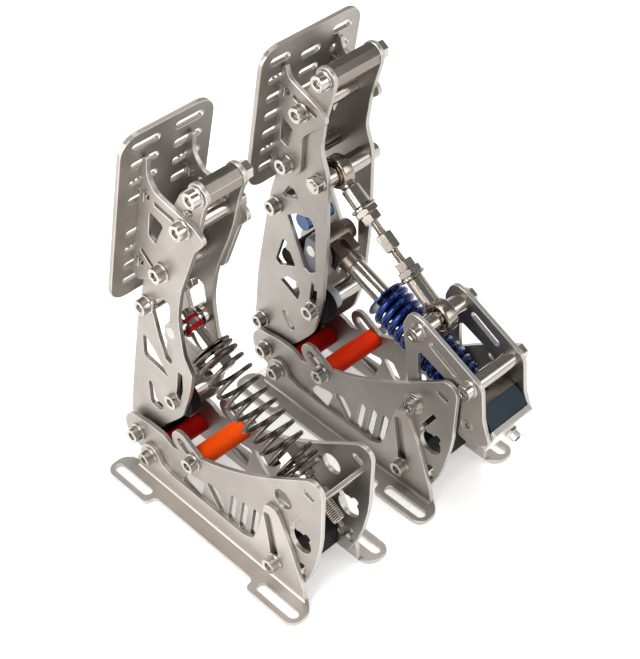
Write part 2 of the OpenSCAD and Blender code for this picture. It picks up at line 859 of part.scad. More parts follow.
module brake_arm_2d() {
    difference() {
        union() {
            outline(moved(brake_arm_points, pivot));
            dot(b_bar, 7.6);
        }
        dot(pivot, pivot_d / 2 + turn_gap);
        for (p = [b_bar, b_bolt_top, b_bolt_low, b_bolt_front, b_bolt_heel, b_bumper, tie_top])
            dot(p, bolt_r + bolt_gap);
        outline(moved([[12.6, 133, 1], [19.4, 144.4, 2], [24, 143.6, 1.5], [28.4, 138.4, 1.5]], pivot));
        outline(moved([[17.6, 121, 2], [26, 126.5, 10], [38, 129.6, 3], [42.2, 123, 6], [42.4, 89.5, 2.5],
            [37, 86, 3], [32, 87.5, 2]], pivot));
        outline(moved([[13, 99, 1.2], [16.6, 99.6, 1.2], [15.8, 92.8, 0.8], [19.4, 92.4, 2], [24.4, 83.5, 1.6],
            [10, 76.4, 1.6], [6.4, 79, 1.6]], pivot));
        outline(moved([[10, 64.2, 0.8], [17, 70.6, 1.5], [26, 71.2, 3], [28, 64, 2], [26.2, 56.4, 0.8]],
            pivot));
        for (z = b_screw_z)
            translate(pivot + on_face(b_face_top, brake_face_lean, z)) rotate(-brake_face_lean)
                translate([-1, -4.5]) square([8, 9]);
        outline(moved([[38.7, 78.8, 0.6], [41.1, 79.2, 0.6], [40.9, 73, 0.8], [43.9, 75.4, 0.6],
            [43.2, 67, 1], [42.4, 63.6, 0.8], [36.8, 63.2, 0.8]], pivot));
        slot(pivot + [13.8, 36.8], pivot + [20.4, 29], 2.4);
    }
}

module brake_bracket_2d() {
    top = on_face(b_face_top, brake_face_lean, 229.5);
    low = on_face(b_face_top, brake_face_lean, 152);
    difference() {
        outline(moved([[top.x, top.y, 1.5], [top.x + 3.6, 233, 2], [23.8, 224.5, 8], [49, 214.8, 4],
            [55.5, 208.5, 4], [44, 198.5, 6], [34.5, 189, 10], [33, 163, 8], [24, 154, 8],
            [12, 152, 4], [low.x, low.y, 2]], pivot));
        for (p = [b_bolt_top, b_bolt_low])
            dot(p, bolt_r + bolt_gap);
        slot(pivot + [29, 213.6], pivot + [45, 209.8], 1.6);
        outline(moved([[17.5, 196, 2], [16, 178, 2], [22.4, 176, 2], [27.4, 189.6, 2]], pivot));
        for (z = b_screw_z)
            nut_pocket(b_face_top, brake_face_lean, z);
    }
}

module brake_arm_plate_right() {
    color(steel) at_brake() sheet(b_arm) brake_arm_2d();
}

module brake_arm_plate_left() {
    color(steel) at_brake() sheet(-b_arm - sheet_t) brake_arm_2d();
}

module brake_arm_hub() {
    color(black) at_brake() arm_hub(b_arm, b_toe);
}

// rubber bumper, and the rubber rod across the arm behind its middle window
module brake_travel_bumper() {
    color(black) at_brake() {
        tube(9.5, b_arm, b_bumper, 12, bolt_r);
        bar(-b_arm, b_arm, b_damper, 6.4);
    }
}

// grey roller beside the bumper, and the two blocks that carry the strut's pin between the arm plates
module brake_arm_bushes() {
    color([0.62, 0.64, 0.65]) at_brake() {
        tube(2, 9.5, b_bumper, 8, bolt_r);
        both_sides() sheet(9.3, b_arm - 9.3) difference() {
            outline(moved([[27, 90, 4], [36, 82.5, 4], [45.5, 82.5, 4], [47.5, 98, 5], [43, 110, 4],
                [31, 110, 4]], pivot));
            dot(b_pin, 4);
        }
    }
}

module brake_arm_spacers() {
    color(polished) at_brake() {
        tube_pair(b_arm + sheet_t, b_in - side_gap, pivot, 8.5, pivot_d / 2 + turn_gap);
        for (p = [b_bolt_top, b_bolt_low, b_bolt_front, b_bolt_heel])
            tube(-b_arm, b_arm, p, 5.5, bolt_r);
        tube(-b_arm, 2, b_bumper, 6, bolt_r);
        tube(tie_x[0] + 5.2, b_arm, tie_top, 6.4, bolt_r);
        tube(-b_arm, tie_x[0] - 5.2, tie_top, 6.4, bolt_r);
    }
}

// coloured rod that stands on the inner side of the right arm plate
module brake_cross_tube() {
    color(blue) at_brake() bar(-5, b_arm, b_cross, 6);
}

module brake_top_bar() {
    color(polished) at_brake() top_bar(b_arm, b_bar);
}

module brake_arm_bolts() {
    arm_face = b_arm + sheet_t;
    color(polished) at_brake() {
        through_bolt(b_bar, arm_face);
        through_bolt(b_bolt_top, arm_face + sheet_t);
        through_bolt(b_bolt_low, arm_face + sheet_t);
        through_bolt(b_bolt_front, arm_face);
        through_bolt(b_bolt_heel, arm_face);
        through_bolt(b_bumper, arm_face);
        mirror([1, 0, 0]) through_bolt(tie_top, arm_face);
        face_screws(b_face_top, brake_face_lean, b_screw_z, b_screw_x);
        bar(-b_arm, b_arm, b_pin, 4 - bolt_gap);
    }
}

module brake_face_bracket_right() {
    color(steel) at_brake() sheet(b_arm + sheet_t) brake_bracket_2d();
}

module brake_face_bracket_left() {
    color(steel) at_brake() sheet(-b_arm - 2 * sheet_t) brake_bracket_2d();
}

module brake_face_plate() {
    outer_rows = [for (i = [0:6]) 10.6 + row * i];
    inner_rows = [for (i = [0:5]) 17.3 + row * i];
    color(steel) at_brake() face_plate(b_face_top, brake_face_lean, brake_face_w, brake_face_h,
        [[-24.5, outer_rows, 5], [0, inner_rows, 5], [24.5, outer_rows, 5]], b_screw_z, b_screw_x);
}

/* tie rod between the brake arm and the rocker */

// the rod runs from right of the middle plane at the arm to nearer it at the rocker
module along_tie_rod() {
    translate([tie_x[0], 0, 0]) on_axis(tie_top, tie_axis) rotate([0, -tie_slope, 0]) children();
}

// rod end on the arm's bolt
module tie_rod_upper_end() {
    color(polished) at_brake() difference() {
        union() {
            bar(tie_x[0] - 4.2, tie_x[0] + 4.2, tie_top, 10.4);
            along_tie_rod() cylinder(h = 25, r = 5.9);
        }
        bar(tie_x[0] - 7, tie_x[0] + 7, tie_top, bolt_r + turn_gap);
        for (x = [tie_x[0] - 14.2, tie_x[0] + 4.2]) bar(x, x + 10, tie_top, 7.4);
    }
}

// thin threaded rod with a turnbuckle in the middle and two nuts at each end
module tie_rod_adjuster() {
    color(polished) at_brake() along_tie_rod() union() {
        translate([0, 0, 25]) cylinder(h = tie_len - 52.7, r = 2.7);
        translate([0, 0, 25]) cylinder(h = 6, r = 8, $fn = 6);
        translate([0, 0, 30.9]) cylinder(h = 5.4, r = 6.4, $fn = 6);
        translate([0, 0, 45]) cylinder(h = 12, r = 5.5, $fn = 6);
        translate([0, 0, tie_len - 39.6]) cylinder(h = 5.5, r = 6.3, $fn = 6);
        translate([0, 0, tie_len - 34.2]) cylinder(h = 6.5, r = 8, $fn = 6);
    }
}

// rod end that goes round the rocker's ball with an open clearance
module tie_rod_lower_end() {
    color(polished) at_brake() difference() {
        union() {
            bar(tie_x[1] - 4.4, tie_x[1] + 4.4, tie_bottom, 10.6);
            along_tie_rod() translate([0, 0, tie_len - 27.7]) cylinder(h = 21, r = 5.5);
        }
        bar(tie_x[1] - 8, tie_x[1] + 8, tie_bottom, ball_r + ball_gap);
    }
}

/* rocker */

rocker_points = [
    [-8.4, -8.4, 8.2], [-12.6, 24, 30], [-17, 51, 12], [-12, 64, 7], [-1, 62.5, 9], [46, 41, 9],
    [49, 16, 20], [55.5, 0, 4], [42, -9.5, 10], [30.3, -7, 4], [31.6, 21.5, 7], [17, 30.5, 6],
    [-4.5, 39, 3], [-2.5, 14, 8], [8.3, 3, 6],
    [8.3, -8.4, 8.2]
];

module rocker_2d() {
    difference() {
        outline(moved(rocker_points, rocker_pivot));
        dot(rocker_pivot, 4 + turn_gap);
        dot(tie_bottom, bolt_r + bolt_gap);
        dot(rear_tube, bolt_r + bolt_gap);
        dot(b_block, 4.2 + bolt_gap);
        slot(rocker_pivot + [6.5, 49], rocker_pivot + [25, 39.4], 2.2);
    }
}

module rocker_plate_right() {
    color(steel) at_brake() sheet(b_arm) rocker_2d();
}

module rocker_plate_left() {
    color(steel) at_brake() sheet(-b_arm - sheet_t) rocker_2d();
}

// tubes between the rocker plates, and the ball on the upper bolt
module rocker_tubes() {
    color(polished) at_brake() {
        tube(tie_x[1] + 5.4, b_arm, tie_bottom, 6.2, bolt_r);
        tube(-b_arm, tie_x[1] - 5.4, tie_bottom, 6.2, bolt_r);
        tube(-b_arm, b_arm, rear_tube, 5.4, bolt_r);
        rocker_ball();
    }
}

module rocker_ball() {
    translate([tie_x[1], tie_bottom.x, tie_bottom.y]) rotate([0, 90, 0]) rotate_extrude() intersection() {
        circle(ball_r);
        translate([bolt_r, -5.3]) square([ball_r, 10.6]);
    }
}

// through bolts of the rocker and the two flush screws that carry the spring block
module rocker_bolts() {
    color(polished) at_brake() {
        through_bolt(tie_bottom, b_arm + sheet_t);
        through_bolt(rear_tube, b_arm + sheet_t);
        both_sides() difference() {
            union() {
                bar(b_arm - 7, b_arm + 0.1, b_block, 3);
                bar(b_arm, b_arm + sheet_t, b_block, 4.2);
            }
            translate([b_arm + sheet_t - 2.2, b_block.x, b_block.y])
                rotate([0, 90, 0]) cylinder(h = 3, r = 2.4, $fn = 6);
        }
    }
}

/* brake strut */

// clevis block on the arm pin
module brake_strut_clevis() {
    color(steel) at_brake() difference() {
        union() {
            bar(-9, 9, b_pin, 9);
            on_axis(b_pin, b_axis) translate([-8.5, -7.5, 0]) cube([17, 15, 17]);
            on_axis(b_pin, b_axis) cylinder(h = 24, r = 7.6);
        }
        bar(-10, 10, b_pin, 4);
        on_axis(b_pin, b_axis) translate([0, 10, 0]) rotate([90, 0, 0]) linear_extrude(20)
            level_slot([0, 10.6], 0, 2, 2.6);
        on_axis(b_pin, b_axis) translate([0, 0, 20]) cylinder(h = 5, r = brake_rod_d / 2);
    }
}

// push rod and the thin perch disc on it
module brake_push_rod() {
    color(polished) at_brake() on_axis(b_pin, b_axis) union() {
        translate([0, 0, 20]) cylinder(h = 92, r = brake_rod_d / 2);
        translate([0, 0, b_perch - 1.4]) cylinder(h = 1.4, r = 13.4);
    }
}

// the spring's lower seat, a bar between the rocker plates, with the tube that the push rod slides in
module brake_lower_seat() {
    bore = brake_rod_d / 2 + push_gap;
    color(polished) at_brake() difference() {
        on_axis(b_pin, b_axis) union() {
            translate([-b_arm + side_gap, -13.2, b_seat]) cube([2 * (b_arm - side_gap), 26.4, b_len - b_seat]);
            translate([0, 0, b_seat - 38]) cylinder(h = 39, r = 8.1);
        }
        on_axis(b_pin, b_axis) translate([0, 0, b_seat - 40]) cylinder(h = 50, r = bore);
        both_sides() bar(b_arm - 7.5, b_arm + 1, b_block, 3 + turn_gap);
    }
}

// round-backed block behind the seat, which the two flush screws turn in
module brake_spring_block() {
    color(dark_blue) at_brake() difference() {
        sheet(-b_arm + side_gap, 2 * (b_arm - side_gap)) intersection() {
            dot(b_block, block_r);
            translate(b_block) rotate(b_axis) translate([0, -block_r]) square([13.6, 2 * block_r]);
            translate(b_block) rotate(b_axis + 62) translate([-2 * block_r, -2 * block_r])
                square([2 * block_r + 14.4, 4 * block_r]);
        }
        both_sides() bar(b_arm - 7.5, b_arm + 1, b_block, 3 + turn_gap);
    }
}

// plate on the back of the block, with the sensor's outlet fitting
module brake_block_cover() {
    color(steel) at_brake() on_axis(b_pin, b_axis) {
        translate([-b_arm + side_gap, -9.5, b_len + 13.6]) cube([2 * (b_arm - side_gap), 19, 4]);
        translate([0, 0, b_len + 17.6]) union() {
            cylinder(h = outlet_end - b_len - 17.6, r = outlet_r);
            cylinder(h = 2.4, r = 4.6, $fn = 6);
        }
    }
}

module brake_spring() {
    color(blue) at_brake() on_axis(b_pin, b_axis)
        translate([0, 0, b_perch + b_wire_r + 0.05]) coil(b_coil, brake_curls * 8);
}

throttle_side_plate_right();
throttle_side_plate_left();
throttle_foot_right();
throttle_foot_left();
throttle_rest_stop_sleeve();
throttle_travel_stop_sleeve();
throttle_pivot_shaft();
throttle_base_bolts();
throttle_sensor_box();
throttle_seat_plate();
throttle_lower_perch();
throttle_arm_plate_right();
throttle_arm_plate_left();
throttle_arm_hub();
throttle_travel_bumper();
throttle_arm_spacers();
throttle_top_bar();
throttle_arm_bolts();
throttle_face_bracket_right();
throttle_face_bracket_left();
throttle_face_plate();
throttle_strut_head();
throttle_strut_rings();
throttle_strut_tube();
throttle_upper_perch();
throttle_spring();
brake_side_plate_right();
brake_side_plate_left();
brake_foot_right();
brake_foot_left();
brake_rest_stop_sleeve();
brake_travel_stop_sleeve();
brake_pivot_shaft();
brake_base_bolts();
brake_sensor_box();
brake_arm_plate_right();
brake_arm_plate_left();
brake_arm_hub();
brake_travel_bumper();
brake_arm_bushes();
brake_arm_spacers();
brake_cross_tube();
brake_top_bar();
brake_arm_bolts();
brake_face_bracket_right();
brake_face_bracket_left();
brake_face_plate();
tie_rod_upper_end();
tie_rod_adjuster();
tie_rod_lower_end();
rocker_plate_right();
rocker_plate_left();
rocker_tubes();
rocker_bolts();
brake_strut_clevis();
brake_push_rod();
brake_lower_seat();
brake_spring_block();
brake_block_cover();
brake_spring();
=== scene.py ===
import bpy
import numpy as np
from mathutils import Matrix, Vector


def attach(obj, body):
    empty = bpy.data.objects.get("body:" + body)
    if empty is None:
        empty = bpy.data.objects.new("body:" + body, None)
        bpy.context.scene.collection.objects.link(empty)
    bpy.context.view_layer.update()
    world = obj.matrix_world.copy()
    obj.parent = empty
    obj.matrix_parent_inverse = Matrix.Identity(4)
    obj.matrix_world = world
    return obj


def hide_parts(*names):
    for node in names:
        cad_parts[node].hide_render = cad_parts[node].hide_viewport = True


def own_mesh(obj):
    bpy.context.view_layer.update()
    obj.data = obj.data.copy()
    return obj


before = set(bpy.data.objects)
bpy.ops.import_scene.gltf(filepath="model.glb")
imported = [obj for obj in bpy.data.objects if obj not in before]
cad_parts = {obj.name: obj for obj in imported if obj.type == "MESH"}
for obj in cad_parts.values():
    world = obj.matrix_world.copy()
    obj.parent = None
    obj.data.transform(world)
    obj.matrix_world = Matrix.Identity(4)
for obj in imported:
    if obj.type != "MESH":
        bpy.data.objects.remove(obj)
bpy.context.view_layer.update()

# Camera, floor and light
# The camera stands high behind the pedals' right side, with a long lens, where the photograph's stood.
# A pale floor, white walls of light and four large soft lamps make up the studio.


def linear(code):
    """An sRGB hex colour as the linear RGBA that a shader takes."""
    rgb = np.array([int(code[i:i + 2], 16) for i in (1, 3, 5)]) / 255
    rgb = np.where(rgb <= 0.04045, rgb / 12.92, ((rgb + 0.055) / 1.055) ** 2.4)
    return (*rgb.tolist(), 1.0)


def add_node(tree, kind, settings=None, inputs=None):
    """Adds a node, sets its properties, and sets or links its inputs."""
    new = tree.nodes.new(kind)
    for name, value in (settings or {}).items():
        setattr(new, name, value)
    for name, value in (inputs or {}).items():
        if isinstance(value, bpy.types.NodeSocket):
            tree.links.new(value, new.inputs[name])
        else:
            new.inputs[name].default_value = value
    return new


def new_material(name):
    """An empty node material, with its tree."""
    made = bpy.data.materials.new(name)
    made.use_nodes = True
    made.node_tree.nodes.clear()
    return made, made.node_tree


def seen_directly(tree):
    """1 for a ray of the camera, of a reflection or through glass, and 0 for light that falls on the object."""
    path = add_node(tree, "ShaderNodeLightPath")
    seen = path.outputs["Is Camera Ray"]
    for kind in ("Is Glossy Ray", "Is Transmission Ray"):
        seen = add_node(tree, "ShaderNodeMath", {"operation": "MAXIMUM"}, {0: seen, 1: path.outputs[kind]}).outputs[0]
    return seen


studio_level = 0.42
scene = bpy.context.scene
scene.view_settings.view_transform = "Standard"

# solved from the photograph's shared edges and hole centres; the lens is in pixels of its 659-pixel height
eye = Vector((0.4684, 0.4688, 0.7442))
yaw, pitch, roll = np.radians([45.49, 42.94, 0.11])
lens_pixels, frame_pixels = 1543.1, 659
forward = Vector((-np.cos(pitch) * np.cos(yaw), -np.cos(pitch) * np.sin(yaw), -np.sin(pitch)))
right = forward.cross(Vector((0, 0, 1))).normalized()
up = right.cross(forward)
turn = Matrix((right, up, -forward)).transposed() @ Matrix.Rotation(roll, 3, "Z")
camera_data = bpy.data.cameras.new("camera")
camera_data.sensor_width = 36
camera_data.lens = camera_data.sensor_width * lens_pixels / frame_pixels
camera_data.clip_start = 0.05
camera = bpy.data.objects.new("camera", camera_data)
camera.matrix_world = Matrix.Translation(eye) @ turn.to_4x4()
scene.collection.objects.link(camera)
scene.camera = camera

floor_half = 4
floor_mesh = bpy.data.meshes.new("floor")
floor_mesh.from_pydata([(x * floor_half, y * floor_half, 0) for x, y in ((-1, -1), (1, -1), (1, 1), (-1, 1))],
                       [], [(0, 1, 2, 3)])
floor = bpy.data.objects.new("floor", floor_mesh)
floor.location.z = -0.0002
scene.collection.objects.link(floor)
paper, tree = new_material("white studio paper")
seen = seen_directly(tree)
glow_level = add_node(tree, "ShaderNodeMath", {"operation": "MULTIPLY"}, {0: seen, 1: studio_level})
matte = add_node(tree, "ShaderNodeBsdfDiffuse", None, {"Color": linear("#F2F1EF")})
glow = add_node(tree, "ShaderNodeEmission", None, {"Color": (1, 1, 1, 1), "Strength": glow_level.outputs[0]})
both = add_node(tree, "ShaderNodeAddShader", None, {0: matte.outputs[0], 1: glow.outputs[0]})
add_node(tree, "ShaderNodeOutputMaterial", None, {"Surface": both.outputs[0]})
floor_mesh.materials.append(paper)

world = bpy.data.worlds.new("studio")
world.use_nodes = True
tree = world.node_tree
tree.nodes.clear()
# white walls down to the floor under a grey ceiling, which gives round steel its dark bands
look = add_node(tree, "ShaderNodeTexCoord")
height = add_node(tree, "ShaderNodeSeparateXYZ", None, {0: look.outputs["Generated"]})
wall_level = add_node(tree, "ShaderNodeMapRange", {"interpolation_type": "SMOOTHSTEP"},
                      {"Value": height.outputs["Z"], "From Min": 0.1, "From Max": 0.6,
                       "To Min": 1.0, "To Max": 0.22})
level = add_node(tree, "ShaderNodeMix", None,
                 {0: seen_directly(tree), 2: studio_level, 3: wall_level.outputs[0]})
back = add_node(tree, "ShaderNodeBackground", None, {"Color": (1, 1, 1, 1), "Strength": level.outputs[0]})
add_node(tree, "ShaderNodeOutputWorld", None, {"Surface": back.outputs[0]})
scene.world = world

lamp_target = Vector((0, 0, 0.1))
for name, place, size, watts in (("key", (1.25, 0.1, 0.95), 0.7, 16),
                                 ("side", (1.3, -0.45, 0.45), 1.0, 11),
                                 ("fill", (-0.6, 1.3, 0.9), 0.9, 7),
                                 ("top", (-0.2, -0.2, 1.7), 1.0, 12)):
    lamp = bpy.data.lights.new(name, "AREA")
    lamp.shape = "SQUARE"
    lamp.size = size
    lamp.energy = watts
    lamp_object = bpy.data.objects.new(name, lamp)
    lamp_object.location = place
    lamp_object.rotation_euler = (lamp_target - Vector(place)).to_track_quat("-Z", "Y").to_euler()
    scene.collection.objects.link(lamp_object)

# Cut and bent sheets: side plates, feet, arms, brackets, face plates and rocker
# 3 mm stainless sheet, laser cut, tumbled and bead blasted, which leaves an even warm grey with a fine grain and
# rounded edges. The rounded edges and the cut walls are drawn paler than the faces, as painted highlight.


def blasted_steel(name, face_dark, face_light, rough, painted_wall_highlight):
    """Blasted stainless: slow cloudy tone and fine grain. Where asked, faces that don't look across the pedal
    are the sheet's cut walls, and are drawn paler as a painted highlight."""
    made, tree = new_material(name)
    place = add_node(tree, "ShaderNodeTexCoord")
    cloud = add_node(tree, "ShaderNodeTexNoise", None,
                     {"Vector": place.outputs["Object"], "Scale": 26.0, "Detail": 4.0, "Roughness": 0.6})
    # blasting grit is about 0.2 mm; drawn at 0.7 mm so that it shows
    grit = add_node(tree, "ShaderNodeTexNoise", None,
                    {"Vector": place.outputs["Object"], "Scale": 1400.0, "Detail": 2.0})
    tone = add_node(tree, "ShaderNodeMath", {"operation": "MULTIPLY_ADD"},
                    {0: grit.outputs["Fac"], 1: 0.25, 2: cloud.outputs["Fac"]})
    shade = add_node(tree, "ShaderNodeMapRange", None,
                     {"Value": tone.outputs[0], "From Min": 0.45, "From Max": 0.85})
    face = add_node(tree, "ShaderNodeMix", {"data_type": "RGBA"},
                    {0: shade.outputs[0], 6: linear(face_dark), 7: linear(face_light)})
    colour = face.outputs[2]
    if painted_wall_highlight:
        turned = add_node(tree, "ShaderNodeNewGeometry")
        parts = add_node(tree, "ShaderNodeSeparateXYZ", None, {0: turned.outputs["True Normal"]})
        across = add_node(tree, "ShaderNodeMath", {"operation": "ABSOLUTE"}, {0: parts.outputs["X"]})
        wall = add_node(tree, "ShaderNodeMath", {"operation": "LESS_THAN"}, {0: across.outputs[0], 1: 0.5})
        # the cut walls' paler colour is a painted highlight, where the edges catch the light
        wall_highlit = add_node(tree, "ShaderNodeMix", {"data_type": "RGBA"},
                          {0: wall.outputs[0], 6: colour, 7: linear("#B8B3AD")})
        colour = wall_highlit.outputs[2]
    gloss = add_node(tree, "ShaderNodeMapRange", None,
                     {"Value": grit.outputs["Fac"], "To Min": rough - 0.05, "To Max": rough + 0.07})
    bump = add_node(tree, "ShaderNodeBump", None,
                    {"Strength": 0.08, "Distance": 0.0001, "Height": grit.outputs["Fac"]})
    shader = add_node(tree, "ShaderNodeBsdfPrincipled", None,
                      {"Base Color": colour, "Metallic": 1.0, "Roughness": gloss.outputs[0],
                       "Normal": bump.outputs[0]})
    add_node(tree, "ShaderNodeOutputMaterial", None, {"Surface": shader.outputs[0]})
    return made


def soften(thing, width, edge_material=None):
    """Merges a CAD node's loose triangles, joins those that lie flat, and rounds edges sharper than 42 degrees by
    width, in metres. The rounding takes edge_material where one is given."""
    weld = thing.modifiers.new("weld", "WELD")
    weld.merge_threshold = 0.000002
    flat = thing.modifiers.new("flat", "DECIMATE")
    flat.decimate_type = "DISSOLVE"
    flat.angle_limit = np.radians(0.4)
    bevel = thing.modifiers.new("bevel", "BEVEL")
    bevel.width = width
    bevel.segments = 2
    bevel.limit_method = "ANGLE"
    bevel.angle_limit = np.radians(42)
    bevel.use_clamp_overlap = False
    bevel.miter_outer = "MITER_ARC"
    if edge_material is not None:
        thing.data.materials.append(edge_material)
        bevel.material = len(thing.data.materials) - 1
    smooth = thing.modifiers.new("smooth", "WEIGHTED_NORMAL")
    smooth.weight = 100
    smooth.keep_sharp = True


def dress(names, finish, width, edge_material=None):
    """Gives CAD nodes a finish and rounded edges."""
    for name in names:
        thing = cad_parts[name]
        thing.data.materials.clear()
        thing.data.materials.append(finish)
        if width:
            soften(thing, width, edge_material)


sheet_steel = blasted_steel("bead-blasted stainless sheet", "#9C9690", "#ACA7A1", 0.42, True)
bent_steel = blasted_steel("bead-blasted stainless bracket", "#9C9690", "#ACA7A1", 0.42, False)
# the rounded edges' paler colour is painted highlight; only their lower roughness comes from the tumbling
edge_highlight_steel = blasted_steel("tumbled stainless edge with painted highlight", "#BEB9B3", "#CECAC5", 0.32, False)
# the feet are the plates' own sheet, drawn lighter as painted light
lit_foot_steel = blasted_steel("bead-blasted stainless foot in painted light", "#B8B2AC", "#C6C0BA", 0.46, False)
plates = [module + kind + side for module in ("throttle_", "brake_")
          for kind in ("side_plate_", "arm_plate_", "face_bracket_") for side in ("right", "left")]
dress(plates + ["rocker_plate_right", "rocker_plate_left"], sheet_steel, 0.00035, edge_highlight_steel)
dress([module + "foot_" + side for module in ("throttle_", "brake_") for side in ("right", "left")],
      lit_foot_steel, 0.0004, edge_highlight_steel)
dress(["throttle_face_plate", "brake_face_plate", "throttle_seat_plate"], bent_steel, 0.0004, edge_highlight_steel)

# Screws, pins, spacer tubes and shafts
# Bought stainless socket screws, nuts and washers, the bright turned tubes that hold the plates apart, and the
# duller drawn bars across the tops of the arms.


def bright_steel(name, tint, rough, grain):
    """Turned steel: bright, with fine rings along the part's own turning marks."""
    made, tree = new_material(name)
    place = add_node(tree, "ShaderNodeTexCoord")
    stretch = add_node(tree, "ShaderNodeMapping", None,
                       {"Vector": place.outputs["Object"], "Scale": grain})
    marks = add_node(tree, "ShaderNodeTexNoise", None,
                     {"Vector": stretch.outputs[0], "Scale": 1.0, "Detail": 3.0})
    stain = add_node(tree, "ShaderNodeTexNoise", None,
                     {"Vector": place.outputs["Object"], "Scale": 90.0, "Detail": 3.0})
    gloss = add_node(tree, "ShaderNodeMapRange", None,
                     {"Value": marks.outputs["Fac"], "To Min": rough - 0.04, "To Max": rough + 0.07})
    colour = add_node(tree, "ShaderNodeMix", {"data_type": "RGBA"},
                      {0: stain.outputs["Fac"], 6: linear(tint[0]), 7: linear(tint[1])})
    bump = add_node(tree, "ShaderNodeBump", None,
                    {"Strength": 0.05, "Distance": 0.00005, "Height": marks.outputs["Fac"]})
    shader = add_node(tree, "ShaderNodeBsdfPrincipled", None,
                      {"Base Color": colour.outputs[2], "Metallic": 1.0, "Roughness": gloss.outputs[0],
                       "Normal": bump.outputs[0]})
    add_node(tree, "ShaderNodeOutputMaterial", None, {"Surface": shader.outputs[0]})
    return made


screw_steel = bright_steel("stainless screw", ("#B2ADA6", "#CAC6C1"), 0.18, (500, 500, 500))
turned_steel = bright_steel("turned steel tube", ("#A39C95", "#BCB6AF"), 0.15, (900, 30, 30))
drawn_steel = bright_steel("drawn steel bar", ("#7E7770", "#968F88"), 0.24, (30, 700, 700))
dress(["throttle_base_bolts", "brake_base_bolts", "throttle_arm_bolts", "brake_arm_bolts", "rocker_bolts",
       "throttle_pivot_shaft", "brake_pivot_shaft"], screw_steel, 0.0003)
dress(["throttle_arm_spacers", "brake_arm_spacers", "rocker_tubes", "throttle_strut_head",
       "brake_push_rod", "throttle_strut_tube", "throttle_lower_perch"], turned_steel, 0.0003)
dress(["throttle_top_bar", "brake_top_bar", "tie_rod_upper_end", "tie_rod_lower_end", "tie_rod_adjuster",
       "brake_lower_seat"], drawn_steel, 0.0004)

# Stop sleeves and strut rings
# Cast urethane sleeves on the stop bolts, dark red at rest and orange at the end of travel, and two red
# rings on the throttle's strut. Satin, a little uneven where they were poured.


def urethane(name, deep, pale, rough):
    """Cast urethane: satin colour with slow flow marks and a faint skin."""
    made, tree = new_material(name)
    place = add_node(tree, "ShaderNodeTexCoord")
    flow = add_node(tree, "ShaderNodeTexNoise", None,
                    {"Vector": place.outputs["Object"], "Scale": 55.0, "Detail": 3.0})
    skin = add_node(tree, "ShaderNodeTexNoise", None,
                    {"Vector": place.outputs["Object"], "Scale": 1100.0, "Detail": 2.0})
    colour = add_node(tree, "ShaderNodeMix", {"data_type": "RGBA"},
                      {0: flow.outputs["Fac"], 6: linear(deep), 7: linear(pale)})
    gloss = add_node(tree, "ShaderNodeMapRange", None,
                     {"Value": flow.outputs["Fac"], "To Min": rough - 0.08, "To Max": rough + 0.08})
    bump = add_node(tree, "ShaderNodeBump", None,
                    {"Strength": 0.15, "Distance": 0.0001, "Height": skin.outputs["Fac"]})
    shader = add_node(tree, "ShaderNodeBsdfPrincipled", None,
                      {"Base Color": colour.outputs[2], "Roughness": gloss.outputs[0],
                       "Subsurface Weight": 0.05, "Normal": bump.outputs[0]})
    shader.inputs["IOR"].default_value = 1.5
    shader.inputs["Specular IOR Level"].default_value = 0.1
    add_node(tree, "ShaderNodeOutputMaterial", None, {"Surface": shader.outputs[0]})
    return made


dress(["throttle_rest_stop_sleeve", "brake_rest_stop_sleeve"],
      urethane("red urethane", "#8E0600", "#C21000", 0.42), 0.0005)
dress(["throttle_travel_stop_sleeve"], urethane("orange urethane", "#E83C00", "#FA5800", 0.42), 0.0005)
# the brake's sleeve is the same orange urethane as the throttle's, drawn darker as painted shade
dress(["brake_travel_stop_sleeve"], urethane("orange urethane in painted shade", "#D02600", "#E83400", 0.42), 0.0005)
dress(["throttle_strut_rings"], urethane("dark red urethane", "#8A0812", "#A80F1C", 0.32), 0.0003)

# Black and grey plastics and rubber
# Moulded black nylon hubs on the pivot shafts and housings over the position sensors, a rubber bumper on each
# arm's lowest bolt, and a grey nylon roller beside the brake's.


def moulded(name, deep, pale, rough, grain, height, shine=0.5):
    """Moulded plastic or rubber: nearly even colour over a fine mould grain, whose height is in metres. shine is
    the specular level, which is low for deep blacks."""
    made, tree = new_material(name)
    place = add_node(tree, "ShaderNodeTexCoord")
    skin = add_node(tree, "ShaderNodeTexNoise", None,
                    {"Vector": place.outputs["Object"], "Scale": grain, "Detail": 3.0})
    wipe = add_node(tree, "ShaderNodeTexNoise", None,
                    {"Vector": place.outputs["Object"], "Scale": 40.0, "Detail": 3.0})
    colour = add_node(tree, "ShaderNodeMix", {"data_type": "RGBA"},
                      {0: wipe.outputs["Fac"], 6: linear(deep), 7: linear(pale)})
    gloss = add_node(tree, "ShaderNodeMapRange", None,
                     {"Value": wipe.outputs["Fac"], "To Min": rough - 0.08, "To Max": rough + 0.1})
    bump = add_node(tree, "ShaderNodeBump", None,
                    {"Strength": 0.3, "Distance": height, "Height": skin.outputs["Fac"]})
    shader = add_node(tree, "ShaderNodeBsdfPrincipled", None,
                      {"Base Color": colour.outputs[2], "Roughness": gloss.outputs[0],
                       "Normal": bump.outputs[0]})
    shader.inputs["IOR"].default_value = 1.49
    shader.inputs["Specular IOR Level"].default_value = shine
    add_node(tree, "ShaderNodeOutputMaterial", None, {"Surface": shader.outputs[0]})
    return made


dress(["throttle_arm_hub", "brake_arm_hub", "throttle_sensor_box", "brake_sensor_box"],
      moulded("moulded black nylon", "#080808", "#101010", 0.46, 1500.0, 0.00008, 0.15), 0.0006)
dress(["throttle_travel_bumper", "brake_travel_bumper"],
      moulded("black rubber", "#080707", "#0F0E0E", 0.6, 900.0, 0.0002, 0.12), 0.0012)
dress(["brake_arm_bushes"], moulded("grey nylon", "#AEB3B5", "#BFC4C5", 0.38, 1500.0, 0.00005), 0.0008)

# Painted and anodised parts
# The blue tube across the brake arm, and the dark blue block behind the heavy spring's seat, with its pale
# cover plate and the bronzed clevis at the strut's other end.


